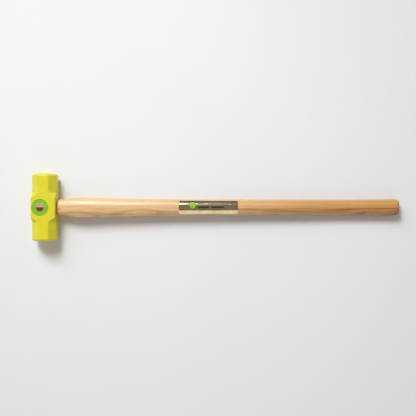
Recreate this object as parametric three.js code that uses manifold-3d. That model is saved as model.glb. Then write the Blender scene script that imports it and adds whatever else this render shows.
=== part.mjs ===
// A two-handed sledgehammer, in millimetres: a forged double-faced head wedged on a wooden handle.
// +X runs along the handle from the head to the butt, +Y along the head, and +Z is up.
// The head lies on its cheek, and the origin is the centre of its lower cheek face.

import * as THREE from "three";
import { mergeVertices } from "three/addons/utils/BufferGeometryUtils.js";
import Module from "manifold-3d";

const wasm = await Module();
wasm.setup();

// Driving dimensions

const head = {
  length: 169, // from one striking face to the other
  side: 60.5, // across the cheeks, and across the flats of the octagonal ends
  chamfer: 17, // leg of the chamfer that takes the ends' corners off
  block: 48, // length of the square cheek block, along its corner edges
  rampAngle: Math.PI / 4, // between the slope at the block's corners and the chamfer
  footRadius: 4, // of the hollow where that slope meets the chamfer
  faceBevel: 5.2, // around each striking face
};

const eye = {
  outer: [42, 31], // width along Y and depth along Z on the side away from the handle
  waist: [37.5, 27],
  inner: [39, 29], // on the handle's side
  countersink: 1.5,
};

const handle = {
  overall: 914, // the whole hammer, from the tongue's end to the butt
  proud: 2, // how far the tongue stands out of the head
  shoulder: 100, // where the curves of the shoulder and the swell end
  // Distance along X from the head's centre, width along Y and depth along Z
  sections: [
    [43, 39.9, 29.3],
    [60, 44.5, 32.8],
    [84, 49.3, 36.2],
    [143, 46.6, 35.2],
    [247, 43, 33],
    [340, 40.3, 31.6],
    [480, 39.2, 31],
    [600, 39.6, 30.8],
    [746, 38.2, 30.4],
    [806, 39.3, 31.4],
    [868, 41.6, 33.8],
  ],
  buttRound: [14, 4.4], // length and inset of the round at the butt's edge
};

const kerf = { depth: 48, width: 1.8 }; // the saw cut in the tongue that takes the wooden wedge

const woodWedge = { length: 42, butt: 7.5, tip: 1.2 };

const steelWedge = {
  width: 17,
  length: 24,
  butt: 4.2,
  tip: 1,
  barbs: 4,
  barbHeight: 0.35,
  sunk: 0.4, // below the tongue's end
  offset: 9, // from the handle's axis, along Y
  turn: Math.PI / 4, // away from the wooden wedge
};

const badge = { diameter: 42, thickness: 0.4, x: -7.4 };

const label = { start: 334, length: 147, width: 32.5, thickness: 0.4, corner: 5 };

const gap = 0.3; // between a piece and the neighbour that it is fitted into
const ovalPower = 2.2; // of the superellipse that the eye and the handle share
const ovalSides = 40;

const halfSide = head.side / 2;
const tongueEnd = -halfSide - handle.proud;
const buttEnd = tongueEnd + handle.overall;

// Materials

function material(color, roughness, metalness = 0) {
  return new THREE.MeshStandardMaterial({ color, roughness, metalness });
}

const paint = material(0xe8de4a, 0.42);
const lacqueredWood = material(0xdba86f, 0.35);
const bareWood = material(0xc59a64, 0.75);
const steel = material(0x8b8e92, 0.45, 1);
const vinyl = material(0x8cc530, 0.4);
const foil = material(0x9a8d60, 0.3, 0.9);

// Solids

// A geometry as a manifold solid, with its shared vertices merged.
function solid(geometry) {
  const bare = geometry.clone();
  bare.deleteAttribute("normal");
  bare.deleteAttribute("uv");
  const merged = mergeVertices(bare, 1e-4);
  return new wasm.Manifold(
    new wasm.Mesh({
      numProp: 3,
      vertProperties: merged.attributes.position.array,
      triVerts: new Uint32Array(merged.index.array),
    }),
  );
}

// A manifold solid as a named mesh with flat faces.
function meshOf(name, made, finish) {
  const { vertProperties, triVerts } = made.getMesh();
  let geometry = new THREE.BufferGeometry();
  geometry.setAttribute("position", new THREE.BufferAttribute(vertProperties, 3));
  geometry.setIndex(new THREE.BufferAttribute(triVerts, 1));
  geometry = geometry.toNonIndexed();
  geometry.computeVertexNormals();
  const mesh = new THREE.Mesh(geometry, finish);
  mesh.name = name;
  return mesh;
}

// An outline extruded by depth, centred on the outline's plane.
function prism(outline, depth) {
  const settings = { depth, bevelEnabled: false, curveSegments: 6 };
  return new THREE.ExtrudeGeometry(outline, settings).translate(0, 0, -depth / 2);
}

function polygon(points) {
  return new THREE.Shape(points.map(([x, y]) => new THREE.Vector2(x, y)));
}

// count + 1 evenly spaced numbers from first to last.
function steps(first, last, count) {
  return Array.from({ length: count + 1 }, (_, i) => first + ((last - first) * i) / count);
}

// A closed bar along +X at the height of the handle's axis. sectionAt(x) gives its oval's width and depth.
function ovalBar(stations, sectionAt) {
  const spans = stations.length - 1;
  const geometry = new THREE.CylinderGeometry(1, 1, spans, ovalSides, spans);
  const position = geometry.attributes.position;
  const rounded = (c) => Math.sign(c) * Math.abs(c) ** (2 / ovalPower);
  for (let i = 0; i < position.count; i++) {
    const x = stations[Math.round(position.getY(i) + spans / 2)];
    const [width, depth] = sectionAt(x);
    const y = (rounded(position.getZ(i)) * width) / 2;
    const z = (rounded(position.getX(i)) * depth) / 2;
    position.setXYZ(i, x, y, halfSide + z);
  }
  return solid(geometry);
}

// Sections

// The eye is an hourglass: it opens from its waist, at the head's middle, to both sides.
function eyeSection(x) {
  const mouth = x < 0 ? eye.outer : eye.inner;
  const share = (Math.min(Math.abs(x), halfSide) / halfSide) ** 2;
  return eye.waist.map((waist, i) => waist + (mouth[i] - waist) * share);
}

const grown = (sectionAt, by) => (x) => sectionAt(x).map((size) => size + 2 * by);
const tongueSection = grown(eyeSection, -gap);

// The handle leaves the eye at the tongue's own section, and a smooth curve joins the rest.
const sections = [[halfSide, ...tongueSection(halfSide)], ...handle.sections];
const handleCurve = new THREE.CubicInterpolant(
  sections.map(([x]) => x),
  sections.flatMap(([, width, depth]) => [width, depth]),
  2,
);

function handleSection(x) {
  if (x < halfSide) return tongueSection(x);
  const [roundLength, inset] = handle.buttRound;
  const along = Math.max(0, (x - buttEnd) / roundLength + 1);
  const drop = 2 * inset * (1 - Math.sqrt(Math.max(0, 1 - along ** 2)));
  const last = sections.at(-1)[0];
  return [...handleCurve.evaluate(Math.min(x, last))].map((size) => size - drop);
}

// Head

// The outline, along the head and out along a corner's diagonal, that is cut from one corner of one end.
function cornerOutline() {
  const edge = halfSide * Math.SQRT2;
  const flat = edge - head.chamfer / Math.SQRT2;
  const end = head.length / 2;
  const foot = head.block / 2 + (edge - flat) / Math.tan(head.rampAngle);
  const reach = head.footRadius * Math.tan(head.rampAngle / 2);
  const outside = edge + head.faceBevel;
  const top = head.block / 2 - (outside - edge) / Math.tan(head.rampAngle);
  const outline = new THREE.Shape();
  outline.moveTo(top, outside);
  outline.lineTo(foot - reach * Math.cos(head.rampAngle), flat + reach * Math.sin(head.rampAngle));
  outline.absarc(
    foot + reach,
    flat + head.footRadius,
    head.footRadius,
    1.5 * Math.PI - head.rampAngle,
    1.5 * Math.PI,
    false,
  );
  outline.lineTo(end - head.faceBevel, flat);
  outline.lineTo(end + head.faceBevel, flat - 2 * head.faceBevel);
  outline.lineTo(end + head.faceBevel, outside);
  outline.closePath();
  return outline;
}

// A slab of the head's outline seen from above, with its striking faces' bevels.
function bevelledSlab() {
  const end = head.length / 2;
  const bevelStart = end - head.faceBevel;
  const narrow = halfSide - head.faceBevel;
  const outline = polygon([
    [halfSide, -bevelStart],
    [halfSide, bevelStart],
    [narrow, end],
    [-narrow, end],
    [-halfSide, bevelStart],
    [-halfSide, -bevelStart],
    [-narrow, -end],
    [narrow, -end],
  ]);
  return prism(outline, head.side);
}

function eyeCutter() {
  const past = 1;
  const rim = halfSide - eye.countersink;
  const stations = [-halfSide - past, ...steps(-rim, rim, 10), halfSide + past];
  const widened = (x) => grown(eyeSection, Math.max(0, Math.abs(x) - rim))(x);
  return ovalBar(stations, widened);
}

function makeHead() {
  const slab = bevelledSlab();
  const onEdge = slab.clone().rotateY(Math.PI / 2);
  let body = solid(slab.translate(0, 0, halfSide)).intersect(solid(onEdge.translate(0, 0, halfSide)));
  const width = head.side;
  for (const end of [1, -1]) {
    for (let corner = 0; corner < 4; corner++) {
      // The outline's first axis turns to +Y or -Y, and its second to the corner's diagonal.
      const cutter = prism(cornerOutline(), width)
        .rotateZ(Math.PI / 2)
        .rotateX(end > 0 ? 0 : Math.PI)
        .rotateY(Math.PI / 4 + (corner * Math.PI) / 2)
        .translate(0, 0, halfSide);
      body = body.subtract(solid(cutter));
    }
  }
  return body.subtract(eyeCutter());
}

// Wedges, each with its butt at x = 0 and its tip towards +X

function wedgeOutline({ length, butt, tip }) {
  return polygon([
    [0, -butt / 2],
    [length, -tip / 2],
    [length, tip / 2],
    [0, butt / 2],
  ]);
}

// The steel wedge's barbs face its butt, so that it can't back out.
function barbedOutline({ length, butt, tip, barbs, barbHeight }) {
  const side = [];
  const halfAt = (x) => (butt + ((tip - butt) * x) / length) / 2;
  for (let i = 0; i < barbs; i++) {
    const [start, stop] = [i, i + 1].map((n) => (n * length) / barbs);
    side.push([start, halfAt(start)], [stop, halfAt(stop) - (i < barbs - 1 ? barbHeight : 0)]);
  }
  const mirrored = side.map(([x, half]) => [x, -half]);
  return polygon([...mirrored, ...side.reverse()]);
}

// The wooden wedge's butt is trimmed flush with the tongue's end, and its sides to the eye.
function makeWoodWedge(slots) {
  const blade = prism(wedgeOutline(woodWedge), eye.outer[0])
    .rotateX(Math.PI / 2)
    .translate(tongueEnd, 0, halfSide);
  const bore = ovalBar(steps(tongueEnd, halfSide, 10), tongueSection);
  return solid(blade).intersect(bore).subtract(slots);
}

// side is 1 or -1: the two steel wedges mirror each other.
function placeSteelWedge(geometry, side) {
  return geometry
    .rotateX(Math.PI / 2 - side * steelWedge.turn)
    .translate(tongueEnd + steelWedge.sunk, side * steelWedge.offset, halfSide);
}

function makeSteelWedge(side) {
  return solid(placeSteelWedge(prism(barbedOutline(steelWedge), steelWedge.width), side));
}

// The slot that a steel wedge has split open, with its gap, out past the tongue's end.
function steelWedgeSlot(side) {
  const { length, butt, tip, width } = steelWedge;
  const past = 2;
  const slope = (butt - tip) / length;
  const slot = wedgeOutline({
    length: length + gap + past,
    butt: butt + 2 * gap + past * slope,
    tip: tip + 2 * gap,
  });
  return solid(placeSteelWedge(prism(slot, width + 2 * gap).translate(-past, 0, 0), side));
}

// Handle

function kerfCutter() {
  const half = woodWedge.butt / 2 + gap;
  const halfTip = kerf.width / 2;
  const past = 2;
  const slope = (half - halfTip) / woodWedge.length;
  const outline = polygon([
    [-past, -half - past * slope],
    [woodWedge.length, -halfTip],
    [kerf.depth, -halfTip],
    [kerf.depth, halfTip],
    [woodWedge.length, halfTip],
    [-past, half + past * slope],
  ]);
  return solid(
    prism(outline, 2 * eye.outer[0])
      .rotateX(Math.PI / 2)
      .translate(tongueEnd, 0, halfSide),
  );
}

function makeHandle(slots) {
  const [roundLength] = handle.buttRound;
  const roundStart = buttEnd - roundLength;
  const roundAngles = steps(0, Math.PI / 2, 6).slice(1);
  const stations = [
    ...steps(tongueEnd, halfSide, 10),
    ...steps(halfSide, handle.shoulder, 10).slice(1),
    ...steps(handle.shoulder, roundStart, 30).slice(1),
    ...roundAngles.map((angle) => roundStart + roundLength * Math.sin(angle)),
  ];
  return ovalBar(stations, handleSection).subtract(kerfCutter()).subtract(slots);
}

// Stickers

function makeBadge() {
  const disc = new THREE.CylinderGeometry(badge.diameter / 2, badge.diameter / 2, badge.thickness, 48);
  const height = head.side + badge.thickness / 2;
  return solid(disc.rotateX(Math.PI / 2).translate(badge.x, 0, height));
}

function roundedRectangle(length, width, radius) {
  const [x, y] = [length / 2 - radius, width / 2 - radius];
  const outline = new THREE.Shape();
  outline.absarc(x, y, radius, 0, 0.5 * Math.PI, false);
  outline.absarc(-x, y, radius, 0.5 * Math.PI, Math.PI, false);
  outline.absarc(-x, -y, radius, Math.PI, 1.5 * Math.PI, false);
  outline.absarc(x, -y, radius, 1.5 * Math.PI, 2 * Math.PI, false);
  return outline;
}

// The label wraps over the handle's upper side, where it is a rounded rectangle seen from above.
function makeLabel() {
  const stations = steps(label.start - 10, label.start + label.length + 10, 8);
  const inside = ovalBar(stations, grown(handleSection, gap));
  const outside = ovalBar(stations, grown(handleSection, gap + label.thickness));
  const cut = prism(roundedRectangle(label.length, label.width, label.corner), halfSide);
  const place = cut.translate(label.start + label.length / 2, 0, 1.5 * halfSide);
  return outside.subtract(inside).intersect(solid(place));
}

// Assembly

const slots = steelWedgeSlot(1).add(steelWedgeSlot(-1));

const sledgehammer = new THREE.Group();
sledgehammer.name = "sledgehammer";
sledgehammer.add(
  meshOf("head", makeHead(), paint),
  meshOf("handle", makeHandle(slots), lacqueredWood),
  meshOf("wood_wedge", makeWoodWedge(slots), bareWood),
  meshOf("steel_wedge_1", makeSteelWedge(1), steel),
  meshOf("steel_wedge_2", makeSteelWedge(-1), steel),
  meshOf("head_badge", makeBadge(), vinyl),
  meshOf("handle_label", makeLabel(), foil),
);

export default sledgehammer;
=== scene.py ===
import math

import bmesh
import bpy
import numpy as np
from mathutils import Matrix, Vector


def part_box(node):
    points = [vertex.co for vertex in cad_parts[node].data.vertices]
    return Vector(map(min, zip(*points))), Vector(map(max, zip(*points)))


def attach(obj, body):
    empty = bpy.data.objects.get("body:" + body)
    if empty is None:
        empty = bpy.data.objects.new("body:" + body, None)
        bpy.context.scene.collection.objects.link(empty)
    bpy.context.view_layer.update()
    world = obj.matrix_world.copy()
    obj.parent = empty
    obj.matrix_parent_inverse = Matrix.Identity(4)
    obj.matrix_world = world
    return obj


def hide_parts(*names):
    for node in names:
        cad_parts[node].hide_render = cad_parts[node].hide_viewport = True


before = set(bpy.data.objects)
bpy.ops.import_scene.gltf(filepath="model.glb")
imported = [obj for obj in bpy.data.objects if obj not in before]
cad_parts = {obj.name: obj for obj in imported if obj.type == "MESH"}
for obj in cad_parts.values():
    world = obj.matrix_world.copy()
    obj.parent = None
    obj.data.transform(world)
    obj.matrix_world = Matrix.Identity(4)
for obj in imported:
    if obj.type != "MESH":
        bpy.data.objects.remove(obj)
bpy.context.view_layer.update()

# Sledgehammer. +X runs along the handle, +Y along the head, +Z up. Sizes are in metres.

headLow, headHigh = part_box("head")
handleLow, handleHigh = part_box("handle")
headHalf = headHigh.x  # half of the square cheek block
headEnd = headHigh.y  # the striking faces' distance from the middle
axisHeight = (headLow.z + headHigh.z) / 2  # of the handle's axis
tongueEnd = handleLow.x
buttEnd = handleHigh.x
ovalPower = 2.2  # superellipse that the eye and the handle share

eye = {
    "outer": (0.042, 0.031),  # width along Y and depth along Z, away from the handle
    "waist": (0.0375, 0.027),
    "inner": (0.039, 0.029),  # on the handle's side
    "lip": 0.0015,  # radius of the rounded mouths
    "sides": 96,
}


def addObject(name, mesh):
    made = bpy.data.objects.new(name, mesh)
    bpy.context.scene.collection.objects.link(made)
    return made


def meshFromBmesh(name, bm):
    bmesh.ops.remove_doubles(bm, verts=bm.verts, dist=1e-7)
    bmesh.ops.recalc_face_normals(bm, faces=bm.faces)
    mesh = bpy.data.meshes.new(name)
    bm.to_mesh(mesh)
    bm.free()
    return mesh


def applyModifiers(piece):
    graph = bpy.context.evaluated_depsgraph_get()
    mesh = bpy.data.meshes.new_from_object(piece.evaluated_get(graph), depsgraph=graph)
    piece.modifiers.clear()
    old = piece.data
    piece.data = mesh
    if old.users == 0:
        bpy.data.meshes.remove(old)
    mesh.name = piece.name


def carve(piece, cutters, operation="DIFFERENCE"):
    for cutter in cutters:
        step = piece.modifiers.new("carve", "BOOLEAN")
        step.operation = operation
        step.solver = "EXACT"
        step.object = cutter
    applyModifiers(piece)


def discard(pieces):
    for piece in pieces:
        bpy.data.objects.remove(piece)


def roundEdges(piece, width, segments=2, angle=30):
    step = piece.modifiers.new("round", "BEVEL")
    step.width = width
    step.segments = segments
    step.limit_method = "ANGLE"
    step.angle_limit = math.radians(angle)
    applyModifiers(piece)


def evenNormals(piece):
    piece.data.shade_smooth()
    step = piece.modifiers.new("normals", "WEIGHTED_NORMAL")
    step.mode = "FACE_AREA"
    step.weight = 60
    applyModifiers(piece)


def smoothByAngle(piece, degrees):
    piece.data.shade_smooth()
    piece.data.set_sharp_from_angle(angle=math.radians(degrees))


def fitPiece(piece, node, material):
    piece.data.materials.clear()
    piece.data.materials.append(material)
    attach(piece, "root")
    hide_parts(node)
    print("made", piece.name, len(piece.data.polygons), "faces")


def signedPower(value, power):
    return math.copysign(abs(value) ** power, value)


def ovalPoint(x, size, angle):
    width, depth = size
    y = signedPower(math.cos(angle), 2 / ovalPower) * width / 2
    z = signedPower(math.sin(angle), 2 / ovalPower) * depth / 2
    return Vector((x, y, axisHeight + z))


def grow(size, by):
    return tuple(side + 2 * by for side in size)


def eyeSize(x):
    mouth = eye["outer"] if x < 0 else eye["inner"]
    share = (min(abs(x), headHalf) / headHalf) ** 2
    return tuple(waist + (wide - waist) * share for waist, wide in zip(eye["waist"], mouth))


def loftOval(name, stations, sizeAt, sides):
    bm = bmesh.new()
    rings = []
    for x in stations:
        angles = (2 * math.pi * i / sides for i in range(sides))
        rings.append([bm.verts.new(ovalPoint(x, sizeAt(x), angle)) for angle in angles])
    for near, far in zip(rings, rings[1:]):
        for i in range(sides):
            bm.faces.new((near[i], near[i - 1], far[i - 1], far[i]))
    bm.faces.new(rings[0])
    bm.faces.new(rings[-1])
    return addObject(name, meshFromBmesh(name, bm))


def addNode(tree, kind, inputs=None, **settings):
    made = tree.nodes.new(kind)
    for key, value in settings.items():
        setattr(made, key, value)
    for key, value in (inputs or {}).items():
        feed(tree, made.inputs[key], value)
    return made


def feed(tree, socket, value):
    if isinstance(value, bpy.types.NodeSocket):
        tree.links.new(value, socket)
    else:
        socket.default_value = value


def calc(tree, operation, *values):
    made = tree.nodes.new("ShaderNodeMath")
    made.operation = operation
    for socket, value in zip(made.inputs, values):
        feed(tree, socket, value)
    return made.outputs[0]


def fade(tree, value, low, high, bottom=0.0, top=1.0):
    limits = {"Value": value, "From Min": low, "From Max": high, "To Min": bottom, "To Max": top}
    return addNode(tree, "ShaderNodeMapRange", limits, interpolation_type="SMOOTHSTEP").outputs[0]


def stretch(tree, vector, scale, location=(0, 0, 0), rotation=(0, 0, 0)):
    settings = {"Vector": vector, "Scale": scale, "Location": location, "Rotation": rotation}
    return addNode(tree, "ShaderNodeMapping", settings).outputs[0]


def noise(tree, vector, scale=1.0, detail=2.0, roughness=0.5):
    settings = {"Vector": vector, "Scale": scale, "Detail": detail, "Roughness": roughness}
    return addNode(tree, "ShaderNodeTexNoise", settings)


def tint(tree, factor, first, second, mode="MIX"):
    made = tree.nodes.new("ShaderNodeMix")
    made.data_type = "RGBA"
    made.blend_type = mode
    made.clamp_factor = True
    for index, value in ((0, factor), (6, first), (7, second)):
        feed(tree, made.inputs[index], value)
    return made.outputs[2]


def bump(tree, height, distance, strength):
    inputs = {"Height": height, "Distance": distance, "Strength": strength}
    return addNode(tree, "ShaderNodeBump", inputs).outputs[0]


def newTree(name, kind, inputs, outputs):
    tree = bpy.data.node_groups.new(name, kind)
    for label, socketType, value in inputs:
        socket = tree.interface.new_socket(label, in_out="INPUT", socket_type=socketType)
        if value is not None:
            socket.default_value = value
    for label, socketType in outputs:
        tree.interface.new_socket(label, in_out="OUTPUT", socket_type=socketType)
    start = tree.nodes.new("NodeGroupInput").outputs
    end = tree.nodes.new("NodeGroupOutput").inputs
    return tree, start, end


def useGroup(tree, group, inputs):
    made = tree.nodes.new("ShaderNodeGroup")
    made.node_tree = group
    for key, value in inputs.items():
        feed(tree, made.inputs[key], value)
    return made.outputs


def newGeometryTree(name, inputs):
    inputs = [("Geometry", "NodeSocketGeometry", None), *inputs, ("Finish", "NodeSocketMaterial", None)]
    return newTree(name, "GeometryNodeTree", inputs, [("Geometry", "NodeSocketGeometry")])


# Ends a geometry tree: real mesh, with its material.
def finishTree(tree, geometry, finish, end):
    real = addNode(tree, "GeometryNodeRealizeInstances", {"Geometry": geometry}).outputs[0]
    done = addNode(tree, "GeometryNodeSetMaterial", {"Geometry": real, "Material": finish}).outputs[0]
    tree.links.new(done, end["Geometry"])


def runTree(piece, tree, values):
    step = piece.modifiers.new("nodes", "NODES")
    step.node_group = tree
    for item in tree.interface.items_tree:
        if item.item_type == "SOCKET" and item.in_out == "INPUT" and item.name in values:
            step[item.identifier] = values[item.name]
    applyModifiers(piece)


def moveTo(tree, geometry, position):
    return addNode(tree, "GeometryNodeSetPosition", {"Geometry": geometry, "Position": position}).outputs[0]


def storedValue(tree, label):
    return addNode(tree, "GeometryNodeInputNamedAttribute", {"Name": label}, data_type="FLOAT").outputs[0]


def newMaterial(name, settings):
    material = bpy.data.materials.new(name)
    material.use_nodes = True
    tree = material.node_tree
    shader = tree.nodes["Principled BSDF"]
    for key, value in settings.items():
        shader.inputs[key].default_value = value
    place = tree.nodes.new("ShaderNodeTexCoord").outputs["Object"]
    return material, tree, shader, place


def paintFrom(tree, shader, sockets):
    for key, value in sockets.items():
        tree.links.new(value, shader.inputs[key])


# Growth rings around a pith that runs along X beside the piece, with streaks, fibres and pores
# along the grain.
def buildWoodGrain():
    inputs = [
        ("Vector", "NodeSocketVector", None),
        ("Pith Y", "NodeSocketFloat", 0.0),
        ("Pith Z", "NodeSocketFloat", -0.06),
        ("Ring Width", "NodeSocketFloat", 0.0025),
        ("Wander", "NodeSocketFloat", 0.006),
    ]
    masks = ("Rings", "Bands", "Streaks", "Fibres", "Pores")
    outputs = [(name, "NodeSocketFloat") for name in masks]
    tree, start, end = newTree("woodGrain", "ShaderNodeTree", inputs, outputs)
    vector = start["Vector"]
    slow = noise(tree, stretch(tree, vector, (5.5, 22, 22)), detail=1.5).outputs["Color"]
    shift = addNode(tree, "ShaderNodeSeparateXYZ", {"Vector": slow}).outputs
    at = addNode(tree, "ShaderNodeSeparateXYZ", {"Vector": vector}).outputs
    legs = []
    for axis, pith, drift in (("Y", "Pith Y", shift["X"]), ("Z", "Pith Z", shift["Y"])):
        offset = calc(tree, "SUBTRACT", at[axis], start[pith])
        wandered = calc(tree, "MULTIPLY_ADD", calc(tree, "SUBTRACT", drift, 0.5), start["Wander"], offset)
        legs.append(calc(tree, "POWER", wandered, 2.0))
    radius = calc(tree, "SQRT", calc(tree, "ADD", *legs))
    ring = calc(tree, "DIVIDE", radius, start["Ring Width"])
    ragged = noise(tree, stretch(tree, vector, (14, 420, 420)), detail=2).outputs[0]
    ring = calc(tree, "MULTIPLY_ADD", ragged, 0.55, ring)
    share = calc(tree, "FRACT", ring)
    late = calc(tree, "MULTIPLY", fade(tree, share, 0.3, 0.92), fade(tree, share, 1.0, 0.95))
    year = addNode(tree, "ShaderNodeTexWhiteNoise", {"W": calc(tree, "FLOOR", ring)}, noise_dimensions="1D")
    rings = calc(tree, "MULTIPLY", late, fade(tree, year.outputs["Value"], 0.0, 1.0, 0.45, 1.0))
    tree.links.new(rings, end["Rings"])
    bands = noise(tree, stretch(tree, vector, (1.7, 75, 75)), detail=2, roughness=0.6).outputs[0]
    tree.links.new(bands, end["Bands"])
    streaks = noise(tree, stretch(tree, vector, (4.5, 290, 290)), detail=2.5, roughness=0.6).outputs[0]
    tree.links.new(streaks, end["Streaks"])
    fibres = noise(tree, stretch(tree, vector, (30, 1700, 1700)), detail=3, roughness=0.7).outputs[0]
    tree.links.new(fibres, end["Fibres"])
    pores = noise(tree, stretch(tree, vector, (75, 2600, 2600)), detail=1).outputs[0]
    early = calc(tree, "SUBTRACT", 1.0, late)
    tree.links.new(calc(tree, "MULTIPLY", fade(tree, pores, 0.6, 0.72), early), end["Pores"])
    return tree


# Fine specks of dust and grit in a coating, and the coating's orange peel.
def buildCoatGrain():
    inputs = [
        ("Vector", "NodeSocketVector", None),
        ("Speck Size", "NodeSocketFloat", 0.0012),
        ("Peel Size", "NodeSocketFloat", 0.0015),
    ]
    outputs = [(name, "NodeSocketFloat") for name in ("Specks", "Peel", "Patches")]
    tree, start, end = newTree("coatGrain", "ShaderNodeTree", inputs, outputs)
    vector = start["Vector"]
    speckScale = calc(tree, "DIVIDE", 1.0, start["Speck Size"])
    cells = addNode(tree, "ShaderNodeTexVoronoi", {"Vector": vector, "Scale": speckScale}).outputs
    chance = addNode(tree, "ShaderNodeSeparateXYZ", {"Vector": cells["Color"]}).outputs["X"]
    spot = fade(tree, cells["Distance"], 0.34, 0.12)
    tree.links.new(calc(tree, "MULTIPLY", spot, fade(tree, chance, 0.72, 0.95)), end["Specks"])
    peelScale = calc(tree, "DIVIDE", 1.0, start["Peel Size"])
    tree.links.new(noise(tree, vector, scale=peelScale, detail=1.5).outputs[0], end["Peel"])
    tree.links.new(noise(tree, vector, scale=38.0, detail=3, roughness=0.6).outputs[0], end["Patches"])
    return tree


# Fine scratches in two directions in the XY plane, for bare metal and foil.
def buildScratches():
    inputs = [("Vector", "NodeSocketVector", None), ("Density", "NodeSocketFloat", 1.0)]
    tree, start, end = newTree("scratches", "ShaderNodeTree", inputs, [("Scratches", "NodeSocketFloat")])
    found = []
    for turn in (0.35, -0.8):
        turned = stretch(tree, start["Vector"], (35, 1500, 1500), rotation=(0, 0, turn))
        lines = noise(tree, turned, detail=2).outputs[0]
        found.append(fade(tree, lines, 0.63, 0.72))
    both = calc(tree, "MAXIMUM", *found)
    tree.links.new(calc(tree, "MULTIPLY", both, start["Density"]), end["Scratches"])
    return tree


# A flat hexagon in the XY plane, and the half of it below the middle.
def buildHexagon():
    inputs = [
        ("Vector", "NodeSocketVector", None),
        ("Radius", "NodeSocketFloat", 0.005),
        ("Softness", "NodeSocketFloat", 0.0002),
    ]
    outputs = [("Mask", "NodeSocketFloat"), ("Lower", "NodeSocketFloat")]
    tree, start, end = newTree("hexagon", "ShaderNodeTree", inputs, outputs)
    at = addNode(tree, "ShaderNodeSeparateXYZ", {"Vector": start["Vector"]}).outputs
    x, y = (calc(tree, "ABSOLUTE", at[axis]) for axis in "XY")
    slant = calc(tree, "MULTIPLY_ADD", x, math.cos(math.pi / 6), calc(tree, "MULTIPLY", y, 0.5))
    reach = calc(tree, "MAXIMUM", slant, y)
    inside = calc(tree, "SUBTRACT", start["Radius"], reach)
    tree.links.new(fade(tree, inside, 0.0, start["Softness"]), end["Mask"])
    tree.links.new(fade(tree, at["Y"], start["Softness"], 0.0), end["Lower"])
    return tree


woodGrain = buildWoodGrain()
coatGrain = buildCoatGrain()
scratches = buildScratches()
hexagon = buildHexagon()


head = {
    "chamfer": 0.017,  # leg of the chamfer that makes the ends octagonal
    "block": 0.048,  # length of the square cheek block, along its corner edges
    "faceBevel": 0.0052,
    "crown": 0.0007,  # rise of each striking face
    "faceRings": (0.78, 0.5, 0.22),
    # Radii of the rounded edges
    "blockCorner": 0.0026,
    "ramp": 0.0012,
    "foot": 0.0030,
    "chamferEdge": 0.0011,
    "face": 0.0009,
    "segments": 4,
    "paint": (0.73, 0.665, 0.02, 1),
    "paintDeep": (0.67, 0.57, 0.008, 1),
    "paintFleck": (0.72, 0.42, 0.030, 1),
    "paintRoughness": (0.34, 0.48),
}


def octagon(half, leg):
    flat = half - leg
    quarter = [(half, -flat), (half, flat)]
    points = []
    for turn in range(4):
        angle = turn * math.pi / 2
        c, s = round(math.cos(angle)), round(math.sin(angle))
        points += [(x * c - z * s, x * s + z * c) for x, z in quarter]
    return points


# The head's flat faces, with the width that each edge is rounded to as its bevel weight.
def buildHeadFaces():
    bm = bmesh.new()
    weight = bm.edges.layers.float.new("bevel_weight_edge")
    widest = max(head["blockCorner"], head["foot"])
    bevel = head["faceBevel"]
    foot = head["block"] / 2 + head["chamfer"] / math.sqrt(2)
    smallLeg = head["chamfer"] - (2 - math.sqrt(2)) * bevel

    def ring(points, y):
        return [bm.verts.new((x, y, axisHeight + z)) for x, z in points]

    def roundTo(first, second, radius):
        edge = bm.edges.get((first, second))
        edge[weight] = radius / widest

    ends = []
    for side in (1, -1):
        corners = ring([(headHalf * a, headHalf * b) for a, b in ((1, 1), (-1, 1), (-1, -1), (1, -1))],
                       side * head["block"] / 2)
        feet = ring(octagon(headHalf, head["chamfer"]), side * foot)
        shoulders = ring(octagon(headHalf, head["chamfer"]), side * (headEnd - bevel))
        outline = octagon(headHalf - bevel, smallLeg)
        rim = ring(outline, side * (headEnd - head["crown"]))
        ends.append((corners, feet, shoulders, rim))
        rings = [rim]
        for scale in head["faceRings"]:
            rise = head["crown"] * scale ** 2
            rings.append(ring([(x * scale, z * scale) for x, z in outline], side * (headEnd - rise)))
        for outer, inner in zip(rings, rings[1:]):
            for i in range(8):
                bm.faces.new((outer[i - 1], outer[i], inner[i], inner[i - 1]))
        bm.faces.new(rings[-1])
        for i in range(8):
            bm.faces.new((shoulders[i - 1], shoulders[i], rim[i], rim[i - 1]))
        for k in range(4):
            a, b = 2 * k + 1, (2 * k + 2) % 8
            bm.faces.new((corners[k], feet[a], feet[b]))
            bm.faces.new((feet[a], feet[b], shoulders[b], shoulders[a]))
    (topCorners, topFeet, topShoulders, _), (lowCorners, lowFeet, lowShoulders, _) = ends
    for k in range(4):
        a, b = 2 * k, 2 * k + 1
        before = (k - 1) % 4
        bm.faces.new((
            topCorners[before], topFeet[a], topShoulders[a], topShoulders[b], topFeet[b], topCorners[k],
            lowCorners[k], lowFeet[b], lowShoulders[b], lowShoulders[a], lowFeet[a], lowCorners[before],
        ))
        roundTo(topCorners[k], lowCorners[k], head["blockCorner"])
    for corners, feet, shoulders, rim in ends:
        for k in range(4):
            a, b = 2 * k + 1, (2 * k + 2) % 8
            roundTo(corners[k], feet[a], head["ramp"])
            roundTo(corners[k], feet[b], head["ramp"])
            roundTo(feet[a], feet[b], head["foot"])
        for i in range(8):
            roundTo(feet[i], shoulders[i], head["chamferEdge"])
            roundTo(shoulders[i - 1], shoulders[i], head["face"])
            roundTo(shoulders[i], rim[i], head["face"])
            roundTo(rim[i - 1], rim[i], head["face"])
    bmesh.ops.recalc_face_normals(bm, faces=bm.faces)
    mesh = bpy.data.meshes.new("headForging")
    bm.to_mesh(mesh)
    bm.free()
    return mesh, widest


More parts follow.
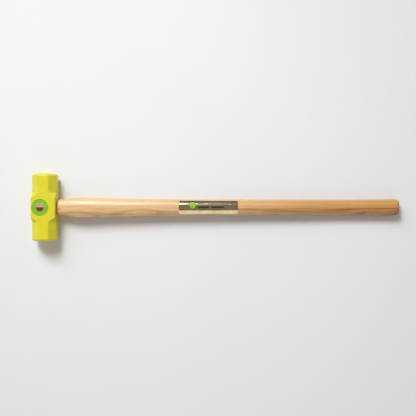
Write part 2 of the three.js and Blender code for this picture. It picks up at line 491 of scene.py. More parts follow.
def eyeCutter():
    lip = eye["lip"]
    rim = headHalf - lip
    arc = [math.pi / 2 * i / 6 for i in range(1, 7)]
    flare = [rim + lip * math.sin(angle) for angle in arc] + [headHalf + lip]
    stations = [-x for x in reversed(flare)] + list(np.linspace(-rim, rim, 17)) + flare

    def size(x):
        into = min(max(abs(x) - rim, 0.0), lip)
        widening = lip - math.sqrt(lip ** 2 - into ** 2)
        return grow(eyeSize(x), widening)

    return loftOval("eyeCutter", stations, size, eye["sides"])


def makeHeadPaint():
    material, tree, shader, place = newMaterial("headEnamel", {"Coat Weight": 0.25, "Coat Roughness": 0.22})
    grain = useGroup(tree, coatGrain, {"Vector": place, "Speck Size": 0.0021, "Peel Size": 0.0016})
    patches = fade(tree, grain["Patches"], 0.35, 0.7, 0.0, 0.55)
    colour = tint(tree, patches, head["paint"], head["paintDeep"])
    colour = tint(tree, calc(tree, "MULTIPLY", grain["Specks"], 0.35), colour, head["paintFleck"])
    rough = fade(tree, grain["Patches"], 0.2, 0.8, *head["paintRoughness"])
    height = calc(tree, "MULTIPLY_ADD", grain["Peel"], 0.6, grain["Patches"])
    relief = bump(tree, height, 0.00035, 0.5)
    paintFrom(tree, shader, {"Base Color": colour, "Roughness": rough, "Normal": relief})
    return material


def makeHead():
    mesh, widest = buildHeadFaces()
    piece = addObject("headForging", mesh)
    step = piece.modifiers.new("round", "BEVEL")
    step.width = widest
    step.segments = head["segments"]
    step.limit_method = "WEIGHT"
    step.miter_outer = "MITER_ARC"
    applyModifiers(piece)
    cutter = eyeCutter()
    carve(piece, [cutter])
    discard([cutter])
    evenNormals(piece)
    fitPiece(piece, "head", makeHeadPaint())


makeHead()


woodWedge = {"length": 0.042, "butt": 0.0075, "tip": 0.0012, "fit": 0.00012}

steelWedge = {
    "length": 0.024,
    "width": 0.017,
    "butt": 0.0042,
    "tip": 0.001,
    "barbs": 4,
    "barbHeight": 0.00035,
    "sunk": 0.0004,  # below the tongue's end
    "offset": 0.009,  # from the handle's axis
    "turn": math.pi / 4,
    "fit": 0.00015,
}

kerf = {"depth": 0.048, "width": 0.0018}


# A wedge along +X from its butt at x = 0, tapered in z, with its width along y.
def taperedBlock(name, length, width, butt, tip, past=0.0):
    slope = (tip - butt) / length
    bm = bmesh.new()
    rows = []
    for x in (-past, length):
        half = (butt + slope * x) / 2
        corners = ((-1, -1), (1, -1), (1, 1), (-1, 1))
        rows.append([bm.verts.new((x, a * width / 2, b * half)) for a, b in corners])
    near, far = rows
    for i in range(4):
        bm.faces.new((near[i - 1], near[i], far[i], far[i - 1]))
    bm.faces.new(near)
    bm.faces.new(far)
    return addObject(name, meshFromBmesh(name, bm))


def moveMesh(piece, matrix):
    piece.data.transform(matrix)
    piece.data.update()
    return piece


def steelPlace(side):
    at = Vector((tongueEnd + steelWedge["sunk"], side * steelWedge["offset"], axisHeight))
    return Matrix.Translation(at) @ Matrix.Rotation(-side * steelWedge["turn"], 4, "X")


def steelSlot(side):
    fit = steelWedge["fit"]
    size = {key: steelWedge[key] + 2 * fit for key in ("width", "butt", "tip")}
    slot = taperedBlock("slot", length=steelWedge["length"] + fit, past=0.002, **size)
    return moveMesh(slot, steelPlace(side))


slots = [steelSlot(side) for side in (1, -1)]


# One closed outline of barbs on both sides, filled and extruded to the wedge's width.
def buildBarbedWedge():
    inputs = [
        ("Barbs", "NodeSocketInt", 4),
        ("Length", "NodeSocketFloat", 0.024),
        ("Width", "NodeSocketFloat", 0.017),
        ("Butt", "NodeSocketFloat", 0.004),
        ("Tip", "NodeSocketFloat", 0.001),
        ("Barb Height", "NodeSocketFloat", 0.0003),
    ]
    tree, start, end = newGeometryTree("barbedWedge", inputs)
    count = calc(tree, "MULTIPLY", start["Barbs"], 4.0)
    ring = addNode(tree, "GeometryNodeCurvePrimitiveCircle", {"Resolution": count}).outputs[0]
    index = tree.nodes.new("GeometryNodeInputIndex").outputs[0]
    under = calc(tree, "GREATER_THAN", index, calc(tree, "MULTIPLY_ADD", start["Barbs"], 2.0, -0.5))
    mirrored = calc(tree, "SUBTRACT", calc(tree, "SUBTRACT", count, 1.0), index)
    change = calc(tree, "SUBTRACT", mirrored, index)
    along = calc(tree, "MULTIPLY_ADD", change, under, index)  # counts from the butt on both sides
    odd = calc(tree, "MODULO", along, 2.0)
    barb = calc(tree, "FLOOR", calc(tree, "DIVIDE", along, 2.0))
    share = calc(tree, "DIVIDE", calc(tree, "ADD", barb, odd), start["Barbs"])
    taper = calc(tree, "SUBTRACT", start["Tip"], start["Butt"])
    half = calc(tree, "MULTIPLY", calc(tree, "MULTIPLY_ADD", taper, share, start["Butt"]), 0.5)
    notched = calc(tree, "LESS_THAN", barb, calc(tree, "SUBTRACT", start["Barbs"], 1.5))
    notch = calc(tree, "MULTIPLY", calc(tree, "MULTIPLY", odd, notched), start["Barb Height"])
    height = calc(tree, "SUBTRACT", half, notch)
    sign = calc(tree, "MULTIPLY_ADD", under, -2.0, 1.0)
    corner = addNode(tree, "ShaderNodeCombineXYZ", {
        "X": calc(tree, "MULTIPLY", share, start["Length"]),
        "Y": calc(tree, "MULTIPLY", height, sign),
    }).outputs[0]
    outline = moveTo(tree, ring, corner)
    face = addNode(tree, "GeometryNodeFillCurve", {"Curve": outline}, mode="NGONS").outputs[0]
    up = addNode(tree, "ShaderNodeCombineXYZ", {"Z": start["Width"]}).outputs[0]
    halfDown = calc(tree, "MULTIPLY", start["Width"], -0.5)
    down = addNode(tree, "ShaderNodeCombineXYZ", {"Z": halfDown}).outputs[0]
    extrusion = {"Mesh": face, "Offset": up, "Individual": False}
    solid = addNode(tree, "GeometryNodeExtrudeMesh", extrusion).outputs[0]
    base = addNode(tree, "GeometryNodeFlipFaces", {"Mesh": face}).outputs[0]
    joined = tree.nodes.new("GeometryNodeJoinGeometry")
    for part in (base, solid):
        tree.links.new(part, joined.inputs[0])
    merging = {"Geometry": joined.outputs[0], "Distance": 1e-6}
    closed = addNode(tree, "GeometryNodeMergeByDistance", merging).outputs[0]
    centred = addNode(tree, "GeometryNodeTransform", {"Geometry": closed, "Translation": down}).outputs[0]
    finishTree(tree, centred, start["Finish"], end)
    return tree


def makeWedgeSteel():
    material, tree, shader, place = newMaterial("wedgeSteel", {"Metallic": 0.9})
    marks = useGroup(tree, scratches, {"Vector": place, "Density": 1.0})["Scratches"]
    grain = useGroup(tree, coatGrain, {"Vector": place, "Speck Size": 0.0009, "Peel Size": 0.0008})
    scale = fade(tree, grain["Patches"], 0.35, 0.65)
    colour = tint(tree, scale, (0.30, 0.30, 0.31, 1), (0.17, 0.16, 0.155, 1))
    colour = tint(tree, calc(tree, "MULTIPLY", grain["Specks"], 0.6), colour, (0.20, 0.10, 0.05, 1))
    colour = tint(tree, calc(tree, "MULTIPLY", marks, 0.6), colour, (0.55, 0.55, 0.56, 1))
    rough = fade(tree, marks, 0.0, 1.0, 0.5, 0.3)
    relief = bump(tree, calc(tree, "MULTIPLY_ADD", marks, -0.3, grain["Peel"]), 0.0002, 0.6)
    paintFrom(tree, shader, {"Base Color": colour, "Roughness": rough, "Normal": relief})
    return material


def makeSteelWedges():
    tree = buildBarbedWedge()
    finish = makeWedgeSteel()
    values = {
        "Barbs": steelWedge["barbs"],
        "Length": steelWedge["length"],
        "Width": steelWedge["width"],
        "Butt": steelWedge["butt"],
        "Tip": steelWedge["tip"],
        "Barb Height": steelWedge["barbHeight"],
        "Finish": finish,
    }
    upright = Matrix.Rotation(math.pi / 2, 4, "X")  # the extruded width turns from z to y
    for number, side in ((1, 1), (2, -1)):
        piece = addObject(f"steelWedge{number}", bpy.data.meshes.new("wedge"))
        runTree(piece, tree, values)
        moveMesh(piece, steelPlace(side) @ upright)
        roundEdges(piece, 0.00018, 2)
        smoothByAngle(piece, 35)
        fitPiece(piece, f"steel_wedge_{number}", finish)


makeSteelWedges()


wood = {
    # Each of these four has its value at the head's end and its value at the butt
    "pale": ((0.87, 0.64, 0.375, 1), (0.64, 0.345, 0.105, 1)),
    "warm": ((0.84, 0.53, 0.235, 1), (0.55, 0.27, 0.07, 1)),
    "ring": ((0.42, 0.19, 0.07, 1), (0.25, 0.075, 0.025, 1)),
    "calm": (0.3, 0.14),  # contrast of the lines on the +Y side
    "lively": (0.5, 0.85),  # and on the -Y side
    "underTintAndShade": (0.88, 0.80, 0.78, 1),  # multiplies the colour on the -Y side towards the butt: darker wood there, partly painted shade
    "dark": (0.33, 0.145, 0.05, 1),
    "pore": (0.22, 0.10, 0.035, 1),
    "bare": (0.40, 0.22, 0.10, 1),  # of the wedge
    "bareWarm": (0.31, 0.155, 0.065, 1),
    # Where along X the colours, the contrast and the -Y side's darkening change
    "colourSpan": (0.1, 0.85),
    "contrastSpan": (0.2, 0.6),
    "underTintAndShadeSpan": (0.45, 0.85),
    "sideSpan": (0.006, -0.001),  # where in Y the calm side meets the lively one
    "sideWander": 0.007,
    "pithY": 0.05,
    "pithZ": -0.03,
    "ringWidth": 0.0056,
    "wander": 0.021,
}


def grainColour(tree, grain, pale, warm, ring, contrast):
    bands = fade(tree, grain["Bands"], 0.36, 0.66)
    colour = tint(tree, bands, pale, warm)
    rings = calc(tree, "MULTIPLY", grain["Rings"], contrast)
    colour = tint(tree, rings, colour, ring)
    streaks = fade(tree, grain["Streaks"], 0.5, 0.72)
    colour = tint(tree, calc(tree, "MULTIPLY", streaks, contrast), colour, ring)
    light = fade(tree, grain["Streaks"], 0.46, 0.3, 0.0, 0.5)
    colour = tint(tree, light, colour, pale)
    fibres = fade(tree, grain["Fibres"], 0.4, 0.75, 0.0, 0.22)
    colour = tint(tree, fibres, colour, wood["dark"])
    return tint(tree, calc(tree, "MULTIPLY", grain["Pores"], 0.5), colour, wood["pore"])


def makeHandleWood():
    material, tree, shader, place = newMaterial("handleWood", {"Coat Weight": 0.36, "Coat Roughness": 0.24})
    grain = useGroup(tree, woodGrain, {
        "Vector": place,
        "Pith Y": wood["pithY"],
        "Pith Z": wood["pithZ"],
        "Ring Width": wood["ringWidth"],
        "Wander": wood["wander"],
    })
    at = addNode(tree, "ShaderNodeSeparateXYZ", {"Vector": place}).outputs
    along = fade(tree, at["X"], *wood["colourSpan"])  # the billet is paler at the head's end
    pale = tint(tree, along, *wood["pale"])
    warm = tint(tree, along, *wood["warm"])
    ring = tint(tree, along, *wood["ring"])
    wavy = calc(tree, "MULTIPLY_ADD", fade(tree, grain["Bands"], 0.3, 0.7), wood["sideWander"], at["Y"])
    under = fade(tree, wavy, *wood["sideSpan"])
    calm = fade(tree, at["X"], *wood["contrastSpan"], *wood["calm"])
    lively = fade(tree, at["X"], *wood["contrastSpan"], *wood["lively"])
    contrast = fade(tree, under, 0.0, 1.0, calm, lively)
    colour = grainColour(tree, grain, pale, warm, ring, contrast)
    # darker wood on the -Y side towards the butt, partly painted shade on the side turned away from the key
    underTintAndShade = calc(tree, "MULTIPLY", under, fade(tree, at["X"], *wood["underTintAndShadeSpan"]))
    colour = tint(tree, underTintAndShade, colour, wood["underTintAndShade"], "MULTIPLY")
    # darker end grain at the tongue's end and at the butt; at the butt it is partly painted shade on the
    # end that faces away from the key
    endGrainAndShade = calc(tree, "MAXIMUM", fade(tree, at["X"], buttEnd - 0.0045, buttEnd - 0.0015),
                    fade(tree, at["X"], tongueEnd + 0.0012, tongueEnd + 0.0004))
    colour = tint(tree, calc(tree, "MULTIPLY", endGrainAndShade, 0.7), colour, wood["dark"])
    # painted shade: the wood is darkened where the handle meets the head's side
    jointShade = calc(tree, "MULTIPLY", fade(tree, at["X"], headHalf + 0.0045, headHalf + 0.0015),
                  fade(tree, at["X"], headHalf - 0.008, headHalf - 0.003))  # painted shade on the wood beside the head's side
    colour = tint(tree, calc(tree, "MULTIPLY", jointShade, 0.75), colour, wood["dark"])
    rough = fade(tree, grain["Fibres"], 0.3, 0.8, 0.34, 0.5)
    height = calc(tree, "MULTIPLY_ADD", grain["Pores"], -0.8, calc(tree, "MULTIPLY", grain["Fibres"], 0.5))
    height = calc(tree, "MULTIPLY_ADD", grain["Streaks"], 0.35, height)
    relief = bump(tree, height, 0.00022, 0.55)
    paintFrom(tree, shader, {"Base Color": colour, "Roughness": rough, "Normal": relief})
    return material


def makeWedgeWood():
    material, tree, shader, place = newMaterial("wedgeWood", {"Specular IOR Level": 0.3})
    grain = useGroup(tree, woodGrain, {
        "Vector": place,
        "Pith Y": -0.03,
        "Pith Z": 0.0,
        "Ring Width": 0.0019,
        "Wander": 0.004,
    })
    colour = grainColour(tree, grain, wood["bare"], wood["bareWarm"], wood["dark"], 0.5)
    rough = fade(tree, grain["Fibres"], 0.3, 0.8, 0.62, 0.85)
    relief = bump(tree, calc(tree, "SUBTRACT", grain["Fibres"], grain["Pores"]), 0.0003, 0.7)
    paintFrom(tree, shader, {"Base Color": colour, "Roughness": rough, "Normal": relief})
    return material


def makeWoodWedge():
    size = {key: woodWedge[key] for key in ("length", "butt", "tip")}
    piece = taperedBlock("woodWedge", width=eye["outer"][0], **size)
    moveMesh(piece, Matrix.Translation((tongueEnd, 0, axisHeight)))
    stations = list(np.linspace(tongueEnd, headHalf, 22))
    bore = loftOval("bore", stations, lambda x: grow(eyeSize(x), -0.0003), eye["sides"])
    carve(piece, [bore], "INTERSECT")
    carve(piece, slots)
    discard([bore])
    roundEdges(piece, 0.00015, 1, 50)
    smoothByAngle(piece, 30)
    fitPiece(piece, "wood_wedge", makeWedgeWood())


makeWoodWedge()


handle = {
    "sides": 96,
    "spacing": 0.004,
    "shoulder": 0.1,  # the shoulder and swell before this have closer rings
    "shoulderSpacing": 0.0022,
    "fit": 0.0002,  # between the tongue and the eye
    "buttRound": (0.014, 0.0044),  # length and inset
    "tongueEdge": 0.0006,
}


# Stations, widths and depths of the CAD handle between the eye and the butt's round.
def cadSections():
    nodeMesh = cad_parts["handle"].data
    points = np.array([vertex.co for vertex in nodeMesh.vertices])
    keys = np.round(points[:, 0], 5)
    roundStart = buttEnd - handle["buttRound"][0]
    rows = []
    for x in np.unique(keys):
        if headHalf - 1e-6 < x < roundStart + 1e-4:
            ring = points[keys == x]
            rows.append((x, np.ptp(ring[:, 1]), np.ptp(ring[:, 2])))
    return np.array(rows).T


sectionX, sectionWidth, sectionDepth = cadSections()


# A smooth curve through the values, with each slope taken from the neighbours.
def smoothThrough(values, x):
    slopes = np.gradient(values, sectionX)
    i = int(np.clip(np.searchsorted(sectionX, x) - 1, 0, len(sectionX) - 2))
    span = sectionX[i + 1] - sectionX[i]
    t = (x - sectionX[i]) / span
    rise = (1 + 2 * t) * (1 - t) ** 2 * values[i] + t * (1 - t) ** 2 * span * slopes[i]
    return rise + t ** 2 * (3 - 2 * t) * values[i + 1] + t ** 2 * (t - 1) * span * slopes[i + 1]


def handleSize(x):
    if x < headHalf:
        return grow(eyeSize(x), -handle["fit"])
    roundLength, inset = handle["buttRound"]
    along = max(0.0, (x - buttEnd) / roundLength + 1)
    drop = 2 * inset * (1 - math.sqrt(max(0.0, 1 - along ** 2)))
    at = min(x, sectionX[-1])
    return tuple(smoothThrough(values, at) - drop for values in (sectionWidth, sectionDepth))


# A spine of points along X, each with its section's width and depth, and any further value.
def spine(name, rows, labels):
    mesh = bpy.data.meshes.new(name)
    links = [(i, i + 1) for i in range(len(rows) - 1)]
    mesh.from_pydata([(row[0], 0, axisHeight) for row in rows], links, [])
    for column, label in enumerate(labels, start=1):
        layer = mesh.attributes.new(label, "FLOAT", "POINT")
        layer.data.foreach_set("value", [float(row[column]) for row in rows])
    return addObject(name, mesh)


# Moves each point of a swept profile onto the oval of its station. Angle 0 is +Y.
def ovalOffset(tree, spinePoint, angleCos, angleSin, power, lift=0.0):
    def onOval(part, sizeName):
        exponent = calc(tree, "DIVIDE", 2.0, power)
        length = calc(tree, "POWER", calc(tree, "ABSOLUTE", part), exponent)
        half = calc(tree, "MULTIPLY_ADD", storedValue(tree, sizeName), 0.5, lift)
        return calc(tree, "MULTIPLY", calc(tree, "MULTIPLY", calc(tree, "SIGN", part), length), half)

    at = addNode(tree, "ShaderNodeSeparateXYZ", {"Vector": spinePoint}).outputs
    return addNode(tree, "ShaderNodeCombineXYZ", {
        "X": at["X"],
        "Y": onOval(angleCos, "width"),
        "Z": calc(tree, "ADD", onOval(angleSin, "depth"), at["Z"]),
    }).outputs[0]


def captured(tree, geometry, label):
    made = tree.nodes.new("GeometryNodeCaptureAttribute")
    made.capture_items.new("VECTOR", label)
    tree.links.new(geometry, made.inputs["Geometry"])
    tree.links.new(tree.nodes.new("GeometryNodeInputPosition").outputs[0], made.inputs[label])
    return made.outputs["Geometry"], made.outputs[label]


# Sweeps a profile along the spine. Both give up their own positions, which the oval then uses.
def sweep(tree, spineMesh, profile, caps):
    curve = addNode(tree, "GeometryNodeMeshToCurve", {"Mesh": spineMesh}).outputs[0]
    curve, spinePoint = captured(tree, curve, "Spine")
    profile, profilePoint = captured(tree, profile, "Profile")
    swept = addNode(tree, "GeometryNodeCurveToMesh", {
        "Curve": curve,
        "Profile Curve": profile,
        "Fill Caps": caps,
    }).outputs[0]
    return swept, spinePoint, addNode(tree, "ShaderNodeSeparateXYZ", {"Vector": profilePoint}).outputs


def buildOvalBar():
    inputs = [("Sides", "NodeSocketInt", 96), ("Power", "NodeSocketFloat", 2.2)]
    tree, start, end = newGeometryTree("ovalBar", inputs)
    circle = addNode(tree, "GeometryNodeCurvePrimitiveCircle", {"Resolution": start["Sides"]}).outputs[0]
    swept, spinePoint, profile = sweep(tree, start["Geometry"], circle, True)
    position = ovalOffset(tree, spinePoint, profile["X"], profile["Y"], start["Power"])
    finishTree(tree, moveTo(tree, swept, position), start["Finish"], end)
    return tree


def handleStations():
    roundLength = handle["buttRound"][0]
    roundStart = buttEnd - roundLength
    edge = handle["tongueEdge"]
    tongue = np.arange(tongueEnd + edge, headHalf, 0.003)
    shoulder = np.arange(headHalf, handle["shoulder"], handle["shoulderSpacing"])
    grip = np.arange(handle["shoulder"], roundStart, handle["spacing"])
    turns = np.linspace(0, math.pi / 2, 15)
    butt = roundStart + roundLength * np.sin(turns)
    return [tongueEnd, *tongue, *shoulder, *grip, *butt]


def makeHandle():
    rows = []
    for x in handleStations():
        edge = max(0.0, handle["tongueEdge"] - (x - tongueEnd))
        rows.append((x, *grow(handleSize(x), -0.5 * edge)))
    piece = spine("handleBillet", rows, ("width", "depth"))
    finish = makeHandleWood()
    runTree(piece, buildOvalBar(), {"Sides": handle["sides"], "Power": ovalPower, "Finish": finish})
    width = 2 * eye["outer"][0]
    fit = woodWedge["fit"]
    wedgeSpace = taperedBlock("wedgeSpace", woodWedge["length"], width, woodWedge["butt"] + 2 * fit,
                              kerf["width"], past=0.002)
    saw = taperedBlock("saw", kerf["depth"], width, kerf["width"], kerf["width"], past=0.002)
    for cutter in (wedgeSpace, saw):
        moveMesh(cutter, Matrix.Translation((tongueEnd, 0, axisHeight)))
    carve(piece, [wedgeSpace, saw, *slots])
    discard([wedgeSpace, saw])
    smoothByAngle(piece, 38)
    fitPiece(piece, "handle", finish)


makeHandle()
discard(slots)


badgeLow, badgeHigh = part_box("head_badge")

badge = {
    "thickness": 0.0003,
    "edge": 0.00012,
    "rings": 16,
    "sides": 128,
    "green": (0.245, 0.545, 0.010, 1),
    "greenDeep": (0.17, 0.43, 0.008, 1),
    "fleck": (0.50, 0.63, 0.02, 1),
    "rim": (0.12, 0.34, 0.008, 1),
    "pink": (0.62, 0.31, 0.26, 1),
    "maroon": (0.13, 0.014, 0.010, 1),
    "mark": 0.0095,  # radius of the plain hexagon
}


# How far the cheek's rounded corner edge falls away at x.
def cheekDrop(x):
    radius = head["blockCorner"]
    past = abs(x) - (headHalf - radius)
    return 0.0 if past <= 0 else radius - math.sqrt(max(0.0, radius ** 2 - past ** 2))


def makeBadgeVinyl(centre):
    material, tree, shader, place = newMaterial("badgeVinyl", {"Coat Weight": 0.35, "Coat Roughness": 0.2})
    grain = useGroup(tree, coatGrain, {"Vector": place, "Speck Size": 0.0016, "Peel Size": 0.0021})
    here = stretch(tree, place, (1, 1, 1), location=(-centre.x, -centre.y, 0))
    flat = addNode(tree, "ShaderNodeSeparateXYZ", {"Vector": here}).outputs
    radius = calc(tree, "SQRT", calc(tree, "ADD", calc(tree, "POWER", flat["X"], 2.0),
                                     calc(tree, "POWER", flat["Y"], 2.0)))
    reach = (badgeHigh.x - badgeLow.x) / 2
    colour = tint(tree, fade(tree, grain["Patches"], 0.35, 0.65), badge["green"], badge["greenDeep"])
    colour = tint(tree, calc(tree, "MULTIPLY", grain["Specks"], 0.55), colour, badge["fleck"])
    line = calc(tree, "MULTIPLY", fade(tree, radius, reach * 0.9, reach * 0.915),
                fade(tree, radius, reach * 0.955, reach * 0.94))
    colour = tint(tree, calc(tree, "MULTIPLY", line, 0.7), colour, badge["rim"])
    mark = useGroup(tree, hexagon, {"Vector": here, "Radius": badge["mark"], "Softness": 0.00015})
    ink = tint(tree, mark["Lower"], badge["pink"], badge["maroon"])
    colour = tint(tree, mark["Mask"], colour, ink)
    rough = fade(tree, grain["Patches"], 0.3, 0.7, 0.34, 0.46)
    height = calc(tree, "MULTIPLY_ADD", mark["Mask"], 0.5, grain["Peel"])
    relief = bump(tree, height, 0.00012, 0.5)
    paintFrom(tree, shader, {"Base Color": colour, "Roughness": rough, "Normal": relief})
    return material


def makeBadge():
    centre = (badgeLow + badgeHigh) / 2
    reach = (badgeHigh.x - badgeLow.x) / 2
    thick, edge = badge["thickness"], badge["edge"]
    profile = [(reach * i / badge["rings"], thick) for i in range(1, badge["rings"])]
    profile += [(reach - edge + edge * math.sin(a), thick - edge + edge * math.cos(a))
                for a in np.linspace(0, math.pi / 2, 5)]
    profile.append((reach, 0.0))
    profile += [(reach * i / badge["rings"], 0.0) for i in range(badge["rings"] - 1, 0, -1)]
    bm = bmesh.new()

    def point(radius, height, angle):
        x, y = centre.x + radius * math.cos(angle), centre.y + radius * math.sin(angle)
        return bm.verts.new((x, y, badgeLow.z + height - cheekDrop(x)))

    angles = [2 * math.pi * i / badge["sides"] for i in range(badge["sides"])]
    rings = [[point(radius, height, angle) for angle in angles] for radius, height in profile]
    for near, far in zip(rings, rings[1:]):
        for i in range(badge["sides"]):
            bm.faces.new((near[i - 1], near[i], far[i], far[i - 1]))
    for ring, height in ((rings[0], thick), (rings[-1], 0.0)):
        middle = point(0.0, height, 0.0)
        for i in range(badge["sides"]):
            bm.faces.new((ring[i - 1], ring[i], middle))
    piece = addObject("headBadge", meshFromBmesh("headBadge", bm))
    smoothByAngle(piece, 50)
    fitPiece(piece, "head_badge", makeBadgeVinyl(centre))


makeBadge()


labelLow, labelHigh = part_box("handle_label")

label = {
    "thickness": 0.00022,
    "corner": 0.005,
    "columns": 33,
    "spacing": 0.003,
    "foil": (0.76, 0.70, 0.46, 1),
    "foilDeep": (0.68, 0.61, 0.38, 1),
    # dark ink of the printed bars, also used for the painted shade line along the +Y edge
    "ink": (0.022, 0.010, 0.006, 1),
    "lime": (0.27, 0.46, 0.012, 1),
    "mark": 0.0074,
    "markAt": (0.0345, 0.005),  # from the label's left end and its middle line
    "barSoftness": 0.0003,
    # Plain printed bars, the last of them a painted dark line along the +Y edge that stands in for the
    # edge's shade and dark reflection: start and end along the label, and middle and half height across it
    "bars": (
        (0.048, 0.076, 0.0002, 0.0026),
        (0.080, 0.113, 0.0002, 0.0026),
        (0.050, 0.068, -0.0068, 0.0008),
        (0.071, 0.091, -0.0068, 0.0008),
        (0.094, 0.106, -0.0068, 0.0008),
        # painted shade and dark reflection along the +Y edge, not print
        (0.003, 0.144, 0.0155, 0.0006),
    ),
}


# The sheet's half width at x, with its rounded corners.
def labelHalf(x):
    corner = label["corner"]
    middle = (labelLow.x + labelHigh.x) / 2
    past = abs(x - middle) - ((labelHigh.x - labelLow.x) / 2 - corner)
    cut = 0.0 if past <= 0 else corner - math.sqrt(max(0.0, corner ** 2 - past ** 2))
    return (labelHigh.y - labelLow.y) / 2 - cut


def buildWrappedSheet():
    inputs = [
        ("Columns", "NodeSocketInt", 33),
        ("Power", "NodeSocketFloat", 2.2),
        ("Lift", "NodeSocketFloat", 0.0001),
    ]
    tree, start, end = newGeometryTree("wrappedSheet", inputs)
    ends = {"Start": (-1, 0, 0), "End": (1, 0, 0)}
    line = addNode(tree, "GeometryNodeCurvePrimitiveLine", ends).outputs[0]
    line = addNode(tree, "GeometryNodeResampleCurve", {"Curve": line, "Count": start["Columns"]}).outputs[0]
    swept, spinePoint, profile = sweep(tree, start["Geometry"], line, False)
    angle = calc(tree, "MULTIPLY_ADD", profile["X"], storedValue(tree, "reach"), math.pi / 2)
    cosine, sine = calc(tree, "COSINE", angle), calc(tree, "SINE", angle)
    position = ovalOffset(tree, spinePoint, cosine, sine, start["Power"], start["Lift"])
    finishTree(tree, moveTo(tree, swept, position), start["Finish"], end)
    return tree


def makeLabelFoil():
    material, tree, shader, place = newMaterial("labelFoil", {"Coat Weight": 0.08, "Coat Roughness": 0.12})
    marks = useGroup(tree, scratches, {"Vector": place, "Density": 0.8})["Scratches"]
    grain = useGroup(tree, coatGrain, {"Vector": place, "Speck Size": 0.0013, "Peel Size": 0.004})
    middle = (labelLow.y + labelHigh.y) / 2
    here = stretch(tree, place, (1, 1, 1), location=(-labelLow.x, -middle, 0))
    at = addNode(tree, "ShaderNodeSeparateXYZ", {"Vector": here}).outputs
    colour = tint(tree, fade(tree, grain["Patches"], 0.35, 0.65), label["foil"], label["foilDeep"])
    printedAndShade = None
    soft = label["barSoftness"]
    for first, last, height, half in label["bars"]:
        starts = fade(tree, at["X"], first, first + soft)
        sides = calc(tree, "MULTIPLY", starts, fade(tree, at["X"], last, last - soft))
        off = calc(tree, "ABSOLUTE", calc(tree, "SUBTRACT", at["Y"], height))
        bar = calc(tree, "MULTIPLY", sides, fade(tree, off, half, half - soft))
        printedAndShade = bar if printedAndShade is None else calc(tree, "MAXIMUM", printedAndShade, bar)
    # the printed bars and the painted shade line along the +Y edge
    colour = tint(tree, printedAndShade, colour, label["ink"])
    markPlace = stretch(tree, here, (1, 1, 1), location=(-label["markAt"][0], -label["markAt"][1], 0))
    shape = {"Vector": markPlace, "Radius": label["mark"], "Softness": 0.0002}
    mark = useGroup(tree, hexagon, shape)["Mask"]
    colour = tint(tree, mark, colour, label["lime"])
    inkedAndShade = calc(tree, "MAXIMUM", printedAndShade, mark)
    metal = fade(tree, inkedAndShade, 0.0, 1.0, 1.0, 0.0)
    rough = calc(tree, "ADD", fade(tree, inkedAndShade, 0.0, 1.0, 0.12, 0.5), calc(tree, "MULTIPLY", marks, 0.12))
    relief = bump(tree, calc(tree, "MULTIPLY_ADD", marks, -0.2, grain["Peel"]), 0.00008, 0.3)
    paintFrom(tree, shader, {"Base Color": colour, "Metallic": metal, "Roughness": rough, "Normal": relief})
    return material


def makeLabel():
    length = labelHigh.x - labelLow.x
    corner = label["corner"]
    turns = np.linspace(0, math.pi / 2, 9)
    left = [labelLow.x + corner - corner * math.cos(turn) for turn in turns]
    right = [labelHigh.x - corner + corner * math.cos(turn) for turn in reversed(turns)]
    count = round((length - 2 * corner) / label["spacing"])
    between = np.linspace(labelLow.x + corner, labelHigh.x - corner, count)[1:-1]
    rows = []
    for x in [*left, *between, *right]:
        width, depth = handleSize(x)
        reach = math.asin((labelHalf(x) / (width / 2)) ** (ovalPower / 2))
        rows.append((x, width, depth, reach))
    piece = spine("handleLabel", rows, ("width", "depth", "reach"))
    finish = makeLabelFoil()
    lift = 0.00004
    runTree(piece, buildWrappedSheet(), {
        "Columns": label["columns"],
        "Power": ovalPower,
        "Lift": lift,
        "Finish": finish,
    })
    bm = bmesh.new()
    bm.from_mesh(piece.data)
    bmesh.ops.remove_doubles(bm, verts=bm.verts, dist=1e-7)
    bmesh.ops.recalc_face_normals(bm, faces=bm.faces)
    if sum(face.normal.z for face in bm.faces) < 0:
        bmesh.ops.reverse_faces(bm, faces=bm.faces)
    bm.to_mesh(piece.data)
    bm.free()
    step = piece.modifiers.new("thickness", "SOLIDIFY")
    step.thickness = label["thickness"]
    step.offset = 1.0
    step.use_even_offset = True
    applyModifiers(piece)
    smoothByAngle(piece, 40)
    fitPiece(piece, "handle_label", finish)


makeLabel()


studio = {
    "floorSize": 14.0,
    "floorColour": (0.805, 0.82, 0.838, 1),
    "aim": (0.35, -0.3, 0.0),
    "spread": 76,
    # Name, position, size, power and colour of each softbox
    "softboxes": (
        ("key", (-0.6, 2.4, 3.05), (1.3, 1.5), 24.8, (0.94, 0.975, 1.0)),
        ("side", (-1.9, 3.3, 2.5), (1.5, 1.3), 5.4, (0.94, 0.975, 1.0)),
    ),
    # Colours of the surroundings, and where each begins and is full in the direction's X, Y or Z
    "walls": (0.45, 0.42, 0.395, 1),
    "nearWall": (0.28, 0.265, 0.245, 1),
    "leftCard": (0.72, 0.69, 0.66, 1),
    "backCloth": (0.19, 0.175, 0.155, 1),
    "frontCard": (1.0, 0.88, 0.80, 1),
    "ceiling": (0.235, 0.195, 0.17, 1),
    "backdrop": (0.325, 0.30, 0.28, 1),  # what shows past the floor's edge
    "ceilingZ": (0.80, 0.88),
    "nearY": (0.2, -0.3),
    "leftX": (-0.5, -0.8),
    "leftZ": (0.45, 0.25),
    "frontY": (-0.47, -0.51),
    "backY": (0.3, 0.5),
    "middleX": (0.45, 0.3),  # the front card's and the back cloth's half width
    "camera": (0.4068, -0.0016, 1.95),
    "lens": 66.45,
}


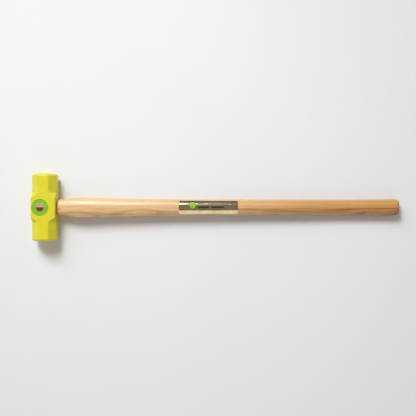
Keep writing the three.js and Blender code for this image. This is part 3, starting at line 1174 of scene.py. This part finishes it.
# The head rests on its lower edge on the handle's side, and the handle's butt drops onto the floor.
def makeFloor():
    points = np.array([vertex.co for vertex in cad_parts["handle"].data.vertices])
    butt = points[points[:, 0] > buttEnd - 0.05]
    lowest = butt[butt[:, 2].argmin()]
    edge = headHalf - head["blockCorner"]
    slope = lowest[2] / (lowest[0] - edge)
    half = studio["floorSize"] / 2
    mesh = bpy.data.meshes.new("floor")
    outline = ((-half, -half), (half, -half), (half, half), (-half, half))
    mesh.from_pydata([(x, y, slope * (x - edge)) for x, y in outline], [], [(0, 1, 2, 3)])
    floor = addObject("floor", mesh)
    material, tree, shader, place = newMaterial("floorPaper", {"Specular IOR Level": 0.1})
    tone = noise(tree, place, scale=3.0, detail=4).outputs[0]
    bright = studio["floorColour"]
    dim = [0.985 * channel for channel in bright[:3]] + [1]
    colour = tint(tree, fade(tree, tone, 0.3, 0.7), bright, dim)
    fibre = noise(tree, place, scale=900.0, detail=3).outputs[0]
    rough = fade(tree, fibre, 0.3, 0.7, 0.85, 0.95)
    relief = bump(tree, fibre, 0.0001, 0.2)
    paintFrom(tree, shader, {"Base Color": colour, "Roughness": rough, "Normal": relief})
    mesh.materials.append(material)


# A dim ceiling and walls, with pale cards towards -Y and -X and a dark cloth towards +Y.
def makeWorld():
    world = bpy.data.worlds.new("studio")
    bpy.context.scene.world = world
    world.use_nodes = True
    tree = world.node_tree
    direction = tree.nodes.new("ShaderNodeTexCoord").outputs["Generated"]
    at = addNode(tree, "ShaderNodeSeparateXYZ", {"Vector": direction}).outputs

    def reach(value, key):
        return fade(tree, value, *studio[key])

    middle = reach(calc(tree, "ABSOLUTE", at["X"]), "middleX")
    left = calc(tree, "MULTIPLY", reach(at["X"], "leftX"), reach(at["Z"], "leftZ"))
    front = calc(tree, "MULTIPLY", reach(at["Y"], "frontY"), middle)
    back = calc(tree, "MULTIPLY", reach(at["Y"], "backY"), middle)
    walls = tint(tree, reach(at["Y"], "nearY"), studio["walls"], studio["nearWall"])
    walls = tint(tree, left, walls, studio["leftCard"])
    walls = tint(tree, back, walls, studio["backCloth"])
    colour = tint(tree, reach(at["Z"], "ceilingZ"), walls, studio["ceiling"])
    colour = tint(tree, front, colour, studio["frontCard"])
    seen = tree.nodes.new("ShaderNodeLightPath").outputs["Is Camera Ray"]
    colour = tint(tree, seen, colour, studio["backdrop"])
    background = tree.nodes["Background"]
    tree.links.new(colour, background.inputs["Color"])
    background.inputs["Strength"].default_value = 1.0


def makeLights():
    for name, at, size, power, colour in studio["softboxes"]:
        data = bpy.data.lights.new(name, "AREA")
        data.shape = "RECTANGLE"
        data.size, data.size_y = size
        data.energy = power
        data.color = colour
        data.spread = math.radians(studio["spread"])
        box = addObject(name, data)
        box.location = at
        box.rotation_euler = (Vector(studio["aim"]) - box.location).to_track_quat("-Z", "Y").to_euler()


def makeCamera():
    data = bpy.data.cameras.new("camera")
    data.sensor_width = 36.0
    data.lens = studio["lens"]
    data.clip_end = 50.0
    camera = addObject("camera", data)
    camera.location = studio["camera"]
    bpy.context.scene.camera = camera


makeFloor()
makeWorld()
makeLights()
makeCamera()
bpy.context.scene.view_settings.view_transform = "Standard"
print("stage, light and camera are set")

bpy.context.view_layer.update()
